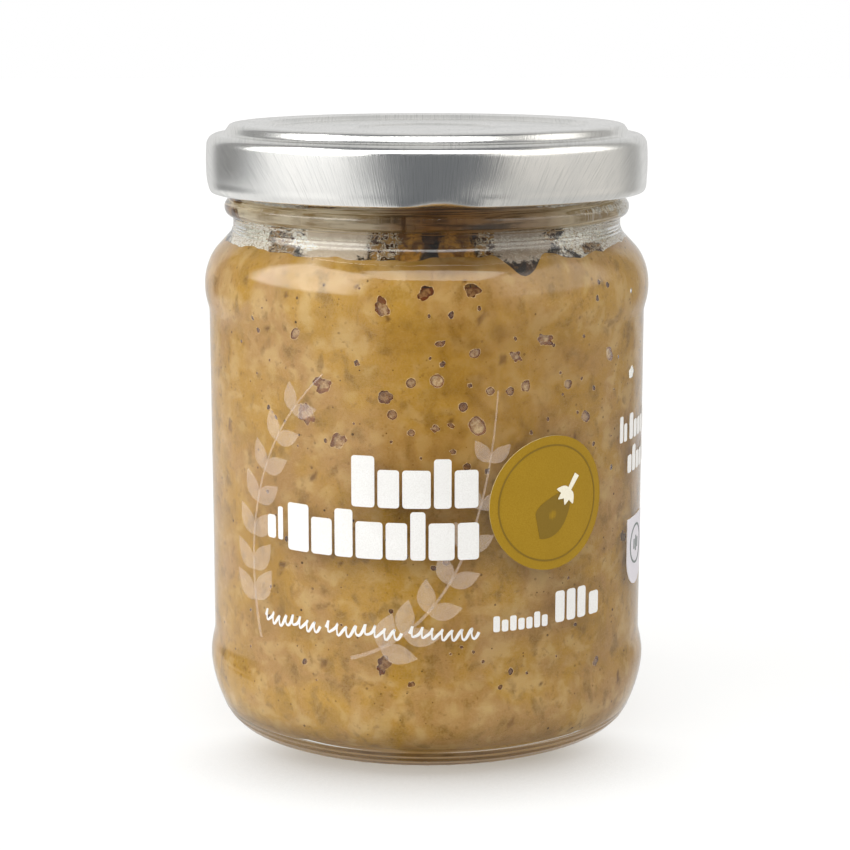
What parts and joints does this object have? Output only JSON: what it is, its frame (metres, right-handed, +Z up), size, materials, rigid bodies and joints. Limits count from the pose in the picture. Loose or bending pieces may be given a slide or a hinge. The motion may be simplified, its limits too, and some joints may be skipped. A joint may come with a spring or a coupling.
{
  "type": "jar of eggplant caviar",
  "caption": "Shut clear glass jar of coarse eggplant caviar, with a satin metal twist-off lid, a round mustard label and a small white side label.",
  "frame": {"origin": "centre of the jar's bearing ring, on the surface that it stands on", "axes": "+Z up the jar's axis, -Y out of the front that carries the print, +X to the right seen from the front"},
  "size_m": [0.0668, 0.0668, 0.0901],
  "materials": {
    "glass": "clear flint glass with a faint grey-green tint at thick edges",
    "tinplate": "satin lacquered tinplate with fine brushed lines",
    "spread": "moist coarse vegetable puree, mottled ochre and tan with brown flecks",
    "mustard_label": "matt mustard-gold label",
    "white_label": "matt white label"
  },
  "bodies": {
    "root": {"glass_jar": "glass", "lid": "tinplate", "eggplant_caviar": "spread", "round_label": "mustard_label", "side_label": "white_label"}
  },
  "joints": []
}
